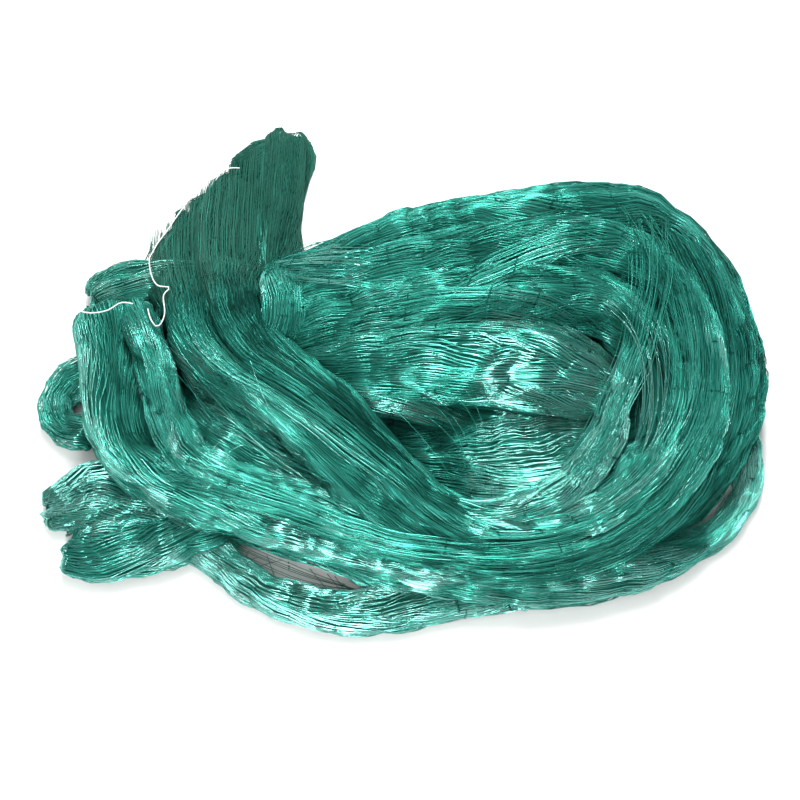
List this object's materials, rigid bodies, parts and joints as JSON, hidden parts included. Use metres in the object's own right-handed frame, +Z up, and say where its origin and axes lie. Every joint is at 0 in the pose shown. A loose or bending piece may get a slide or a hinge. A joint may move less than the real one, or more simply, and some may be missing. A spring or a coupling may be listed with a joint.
{
  "type": "fishing net",
  "caption": "Heaped green nylon fishing net, bunched into skeins in an oval loop with a fanned loose end and white threads lying on it.",
  "frame": {"origin": "on the surface that the heap lies on, under the middle of its box", "axes": "+X along the heap, from the folded hank towards the round end of the loop; +Y away from the front, towards the fanned loose end; +Z up"},
  "size_m": [0.4373, 0.3325, 0.081],
  "materials": {
    "green_nylon": "glossy, slightly translucent nylon monofilament",
    "white_thread": "matt twisted thread"
  },
  "bodies": {
    "root": {"netting": "green_nylon", "edge_thread": "white_thread", "fold_thread": "white_thread"}
  },
  "joints": []
}
